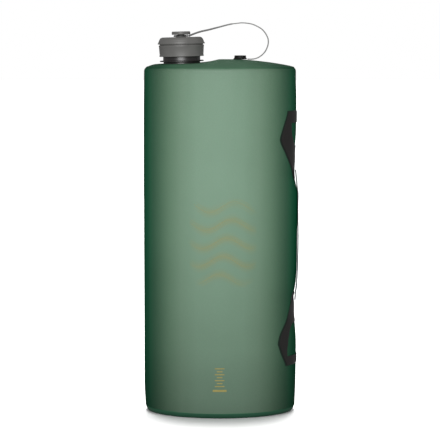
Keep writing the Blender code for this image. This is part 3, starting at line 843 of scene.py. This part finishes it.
def add_gauge(look):
    """A small gauge: a bar with ticks of two lengths over it."""
    patches = 8
    shape = bmesh.new()
    bars = [(GAUGE_LOW, GAUGE_HALF_WIDE, GAUGE_BAR)]
    for i in range(GAUGE_TICKS):
        wide = GAUGE_SHORT if i % 2 else GAUGE_LONG
        bars.append((GAUGE_LOW + GAUGE_FIRST + i * GAUGE_STEP, GAUGE_HALF_WIDE * wide, GAUGE_TICK))
    for z, half_wide, half_high in bars:
        edges = [GAUGE_X + half_wide * (2 * i / patches - 1) for i in range(patches + 1)]
        for left, right in zip(edges, edges[1:]):
            low, high = z - half_high, z + half_high
            add_ink(shape, [(left, low), (right, low), (right, high), (left, high)])
    flatten_print(link("gauge_print", shape, look, "film", "front_film"))


def flatten_print(made):
    """A print gets its own copy of its mesh."""
    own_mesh(made)


# ---------------------------------------------------------------- the closure


def add_neck(look):
    """The neck, from its weld flange up to its mouth, with its thread."""
    shape = bmesh.new()
    turn(shape, rounded(NECK_PROFILE, 0.0004))
    helix(shape, *NECK_THREAD)
    link("neck_moulding", shape, look, "neck", "bottle", "neck")


def add_cap(look):
    """The cap's shell: skirt with a bead at its foot, undercut, lip, sloping shoulder and deck."""
    shape = bmesh.new()
    turn(shape, rounded(CAP_PROFILE, 0.00025), 144)
    helix(shape, *CAP_THREAD)
    link("cap_moulding", shape, look, "cap", "cap", "cap_shell")


def add_small_turnings(looks):
    """The cap's gasket, the port's insert, the tether's ring and the plug's sealing ring."""
    for name, node, slot, body, radius, profile in (
        ("cap_gasket", "cap_seal", "seal", "cap", 0.0004, GASKET_PROFILE),
        ("port_insert", "port_seat", "port", "cap", 0.0002, PORT_PROFILE),
        ("tether_loop", "tether_ring", "tether", "tether_ring", 0.0004, LOOP_PROFILE),
    ):
        shape = bmesh.new()
        turn(shape, rounded(profile, radius), 80)
        link(name, shape, looks[slot], slot, body, node)
    shape = bmesh.new()
    turn(shape, arc(PLUG_RING_MIDDLE, PLUG_RING_WIRE, 0, 330, 11), 64)
    link("plug_ring", shape, looks["seal"], "seal", "plug", "plug_seal")


def add_plug(look):
    """The push-in plug. Its head is thinned at one side into a finger lip."""
    low, top, head = PLUG_LOW, PLUG_TOP, PLUG_HEAD
    profile = [
        *PLUG_STEM, (0.0100, low), (head, low + 0.0005),
        *arc((head - PLUG_EDGE, top - PLUG_EDGE), PLUG_EDGE, 0, 80, 5), (PLUG_DISH_EDGE, top),
        (PLUG_DISH_EDGE - 0.0004, top - PLUG_DISH), (0.0004, top - PLUG_DISH),
    ]
    shape = bmesh.new()
    turn(shape, rounded(profile, 0.0002), 96)
    inverse = CLOSURE_FRAME.inverted()
    for vert in shape.verts:
        local = inverse @ vert.co
        lip = ease((-local.x - LIP_START) / LIP_BLEND) if low - 0.0001 < local.z < low + 0.0015 else 0.0
        local.z += lip * LIP_CUT * (1 - (local.z - low) / 0.0030)
        vert.co = CLOSURE_FRAME @ local
    link("plug_moulding", shape, look, "cap", "plug", "plug")


def add_tether(look):
    """The flat strap from the ring to the stud, stepping down from a firm arm to a thin strap."""
    steps = 120
    middle, length = smooth_route(TETHER_ROUTE, steps)
    half = TETHER_WIDTH / 2
    rows = []
    for i, (x, z) in enumerate(middle):
        way = heading(middle, i)
        up = Vector((-way.z, 0, way.x))
        climbing = i < steps * 0.55
        thin = ease((x - TETHER_STEP_X) / TETHER_STEP_LENGTH + 0.5) if climbing else 1.0
        arm = TETHER_THICK * (1 - TETHER_TAPER * ease((x - TETHER_TAPER_START) / TETHER_TAPER_LENGTH))
        thick = arm + (TETHER_THIN - arm) * thin
        flat = thick / 2
        section = rounded([(-half, -flat), (half, -flat), (half, flat), (-half, flat)], thick * 0.4)
        rows.append([Vector((x, 0, z)) + Vector((0, 1, 0)) * a + up * b for a, b in section])
    shape = bmesh.new()
    bar(shape, rows)
    made = link("tether_band", shape, look, "tether", None, "tether_strap")
    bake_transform(made)


def add_anchor(look):
    """The black stud that pins the tether, with a softly flared foot."""
    low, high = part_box("tether_anchor")
    x = (low[0] + high[0]) / 2
    foot, top = low[2], high[2]
    profile = rounded([
        (0.0004, foot), (0.0078, foot), (0.0078, foot + 0.0006), (0.0069, foot + 0.0013),
        (0.0066, foot + 0.0024), (0.0066, top), (0.0046, top), (0.0043, top - 0.0004),
        (0.0004, top - 0.0004),
    ], 0.0004)
    shape = bmesh.new()
    turn(shape, profile, 72, Matrix.Translation((x, 0, 0)))
    link("anchor_stud", shape, look, "handle", "bottle", "tether_anchor")


# ---------------------------------------------------------------- the handle


def tab_grid(stations, spread, lift):
    """Rows of points across a tab, its rows' heights, and the columns that its window takes."""
    fine, columns = 4, 8
    rows, heights = [], []
    last = len(stations) - 1
    for i in range(last * fine + 1):
        k = min(i // fine, last - 1)
        share = i / fine - k
        z, half, window = (a + (b - a) * share for a, b in zip(stations[k], stations[k + 1]))
        if i in (0, last * fine):
            z += math.copysign(spread, z - stations[last // 2][0])
        limb = [window + (half + spread - window) * j / columns for j in range(columns + 1)]
        inside = [window * j / columns for j in range(1 - columns, columns)]
        rows.append([side_point(y, z, lift) for y in [-y for y in limb[::-1]] + inside + limb])
        heights.append(z)
    return rows, heights, (columns, 3 * columns)


def add_tab(name, node, stations, window, look, margin_look):
    """A tab, bevelled at its edges, and the thin margin of its weld round it."""
    layers = (
        (name, "handle", 0.0, TAB_GAP, TAB_THICK, look),
        (f"{name}_weld", "film", WELD_SPREAD, WELD_LIFT, WELD_THICK, margin_look),
    )
    for title, slot, spread, lift, thickness, surface in layers:
        rows, heights, columns = tab_grid(stations, spread, lift)
        shape = bmesh.new()
        verts = [[shape.verts.new(point) for point in row] for row in rows]
        for r, (low, high) in enumerate(zip(verts, verts[1:])):
            open_row = window[0] < (heights[r] + heights[r + 1]) / 2 < window[1]
            for i in range(len(low) - 1):
                if not (open_row and columns[0] <= i < columns[1]):
                    shape.faces.new((low[i], low[i + 1], high[i + 1], high[i]))
        bmesh.ops.recalc_face_normals(shape, faces=shape.faces)
        shape.faces.ensure_lookup_table()
        if shape.faces[0].normal.x < 0:
            bmesh.ops.reverse_faces(shape, faces=shape.faces)
        mesh = bpy.data.meshes.new(title)
        shape.to_mesh(mesh)
        shape.free()
        made = bpy.data.objects.new(title, mesh)
        bpy.context.collection.objects.link(made)
        solid = made.modifiers.new("thickness", "SOLIDIFY")
        solid.thickness = thickness
        solid.offset = 1
        if not spread:
            edge = made.modifiers.new("edge", "BEVEL")
            edge.width = TAB_BEVEL
            edge.segments = 2
            edge.angle_limit = math.radians(50)
        bake_modifiers(made)
        made.data.materials.append(surface)
        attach(made, "bottle")
        if not spread:
            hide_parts(node)
        flatten_with_bag(made)


def bake_modifiers(made):
    """Puts the modifiers' result into the mesh."""
    bpy.context.view_layer.update()
    graph = bpy.context.evaluated_depsgraph_get()
    final = bpy.data.meshes.new_from_object(made.evaluated_get(graph))
    made.modifiers.clear()
    made.data = final
    final.shade_smooth()
    final.set_sharp_from_angle(angle=math.radians(40))


def add_strap(look):
    """The carry strap: its ends run on to the tabs' tips, and its edges are rounded."""
    middle, _ = smooth_route([(x, z) for z, x in STRAP_ROUTE], 90)
    half, thick = STRAP_HALF_WIDTH, STRAP_THICK / 2
    section = [(-half, 0)] + [(half * (k / 8 - 1), thick) for k in range(1, 16)] + [(half, 0)]
    section += [(half * (1 - k / 8), -thick) for k in range(1, 16)]
    rows = []
    for i, (x, z) in enumerate(middle):
        way = heading(middle, i)
        out = Vector((way.z, 0, -way.x))
        rows.append([Vector((x, 0, z)) + Vector((0, 1, 0)) * a + out * b for a, b in section])
    shape = bmesh.new()
    bar(shape, rows)
    flatten_with_bag(link("carry_strap", shape, look, "handle", "bottle", "handle_strap"))


# ---------------------------------------------------------------- the room


def add_camera():
    """A camera on the bag's middle plane, a little above its top and tilted down."""
    camera = bpy.data.objects.new("camera", bpy.data.cameras.new("camera"))
    bpy.context.collection.objects.link(camera)
    camera.data.lens = LENS
    camera.data.clip_end = 20
    camera.location = (0, -EYE_DISTANCE, EYE_HEIGHT)
    aim = Vector((0, 0, LOOK_HEIGHT)) - camera.location
    camera.rotation_euler = aim.to_track_quat("-Z", "Y").to_euler()
    bpy.context.scene.camera = camera


def add_light(name, kind, place, power, aim=BAG_MIDDLE):
    """A light at a place, turned towards its aim."""
    light = bpy.data.objects.new(name, bpy.data.lights.new(name, kind))
    bpy.context.collection.objects.link(light)
    light.data.energy = power
    light.location = place
    light.rotation_euler = (Vector(aim) - Vector(place)).to_track_quat("-Z", "Y").to_euler()
    return light


def add_softbox(name, place, side, power):
    """A square softbox."""
    light = add_light(name, "AREA", place, power)
    light.data.shape = "RECTANGLE"
    light.data.size, light.data.size_y = side, side
    return light


def add_floor():
    """A pale floor with a light of its own, so that it stays white up to the object's contact shadow."""
    shape = bmesh.new()
    bmesh.ops.create_grid(shape, x_segments=1, y_segments=1, size=FLOOR_HALF)
    mesh = bpy.data.meshes.new("floor")
    shape.to_mesh(mesh)
    shape.free()
    mesh.materials.append(floor_look())
    floor = bpy.data.objects.new("floor", mesh)
    bpy.context.collection.objects.link(floor)
    floor.location.z = -0.0002
    floor.visible_diffuse = False
    floor.visible_glossy = False
    lit = bpy.data.collections.new("lit_by_overhead")
    lit.objects.link(floor)
    overhead = add_light("overhead", "SUN", OVERHEAD_FROM, OVERHEAD_POWER, (0, 0, 0))
    overhead.data.angle = OVERHEAD_SPREAD
    overhead.light_linking.receiver_collection = lit


def add_world():
    """A white room to look at, which lights the object as a much dimmer one."""
    world = bpy.data.worlds.new("studio")
    bpy.context.scene.world = world
    world.use_nodes = True
    tree = world.node_tree
    background = tree.nodes["Background"]
    background.inputs["Color"].default_value = (1, 1, 1, 1)
    seen = tree.nodes.new("ShaderNodeLightPath").outputs["Is Camera Ray"]
    strength = tree.nodes.new("ShaderNodeMapRange")
    tree.links.new(seen, strength.inputs["Value"])
    strength.inputs["To Min"].default_value = AMBIENT
    strength.inputs["To Max"].default_value = 1.0
    tree.links.new(strength.outputs["Result"], background.inputs["Strength"])


def add_room():
    """The floor, the white surroundings and two softboxes."""
    add_floor()
    add_world()
    add_softbox("key", *KEY)
    back = add_softbox("back", *BACK)
    back.visible_glossy = False
    bpy.context.scene.view_settings.view_transform = "Standard"


def main():
    looks = {
        "neck": moulded_look("smoky_neck", (0.012, 0.010, 0.010), 0.36, 700.0, 0.00005, 1.0),
        "cap": moulded_look("grey_cap", (0.176, 0.174, 0.167), 0.42, specular=0.65),
        "port": moulded_look("port_plastic", (0.020, 0.020, 0.020), 0.40),
        "seal": moulded_look("seal_rubber", (0.30, 0.30, 0.29), 0.60, 900.0),
        "tether": moulded_look("tether_plastic", (0.105, 0.105, 0.102), 0.45),
        "black": moulded_look("black_tab", (0.0165, 0.0155, 0.0145), 0.46, 1100.0, 0.00018),
        "stud": moulded_look("black_stud", (0.010, 0.011, 0.010), 0.55, 1100.0, 0.0001, 0.25),
        "margin": moulded_look("weld_margin", (0.006, 0.020, 0.012), 0.35),
    }
    add_camera()
    add_tether(tether_look())
    film = film_look()
    add_side_films(film)
    top_look = top_film_look()
    add_top_film(top_look)
    add_base_film(base_film_look())
    add_seam_beads(top_look)
    add_side_seams(film)
    ink = print_look()
    add_emblem(ink)
    add_gauge(ink)
    add_neck(looks["neck"])
    add_cap(looks["cap"])
    add_small_turnings(looks)
    add_plug(looks["cap"])
    add_anchor(looks["stud"])
    add_tab("upper_tab", "upper_handle_tab", UPPER_TAB, UPPER_WINDOW, looks["black"], looks["margin"])
    add_tab("lower_tab", "lower_handle_tab", LOWER_TAB, LOWER_WINDOW, looks["black"], looks["margin"])
    add_strap(webbing_look())
    add_room()


main()
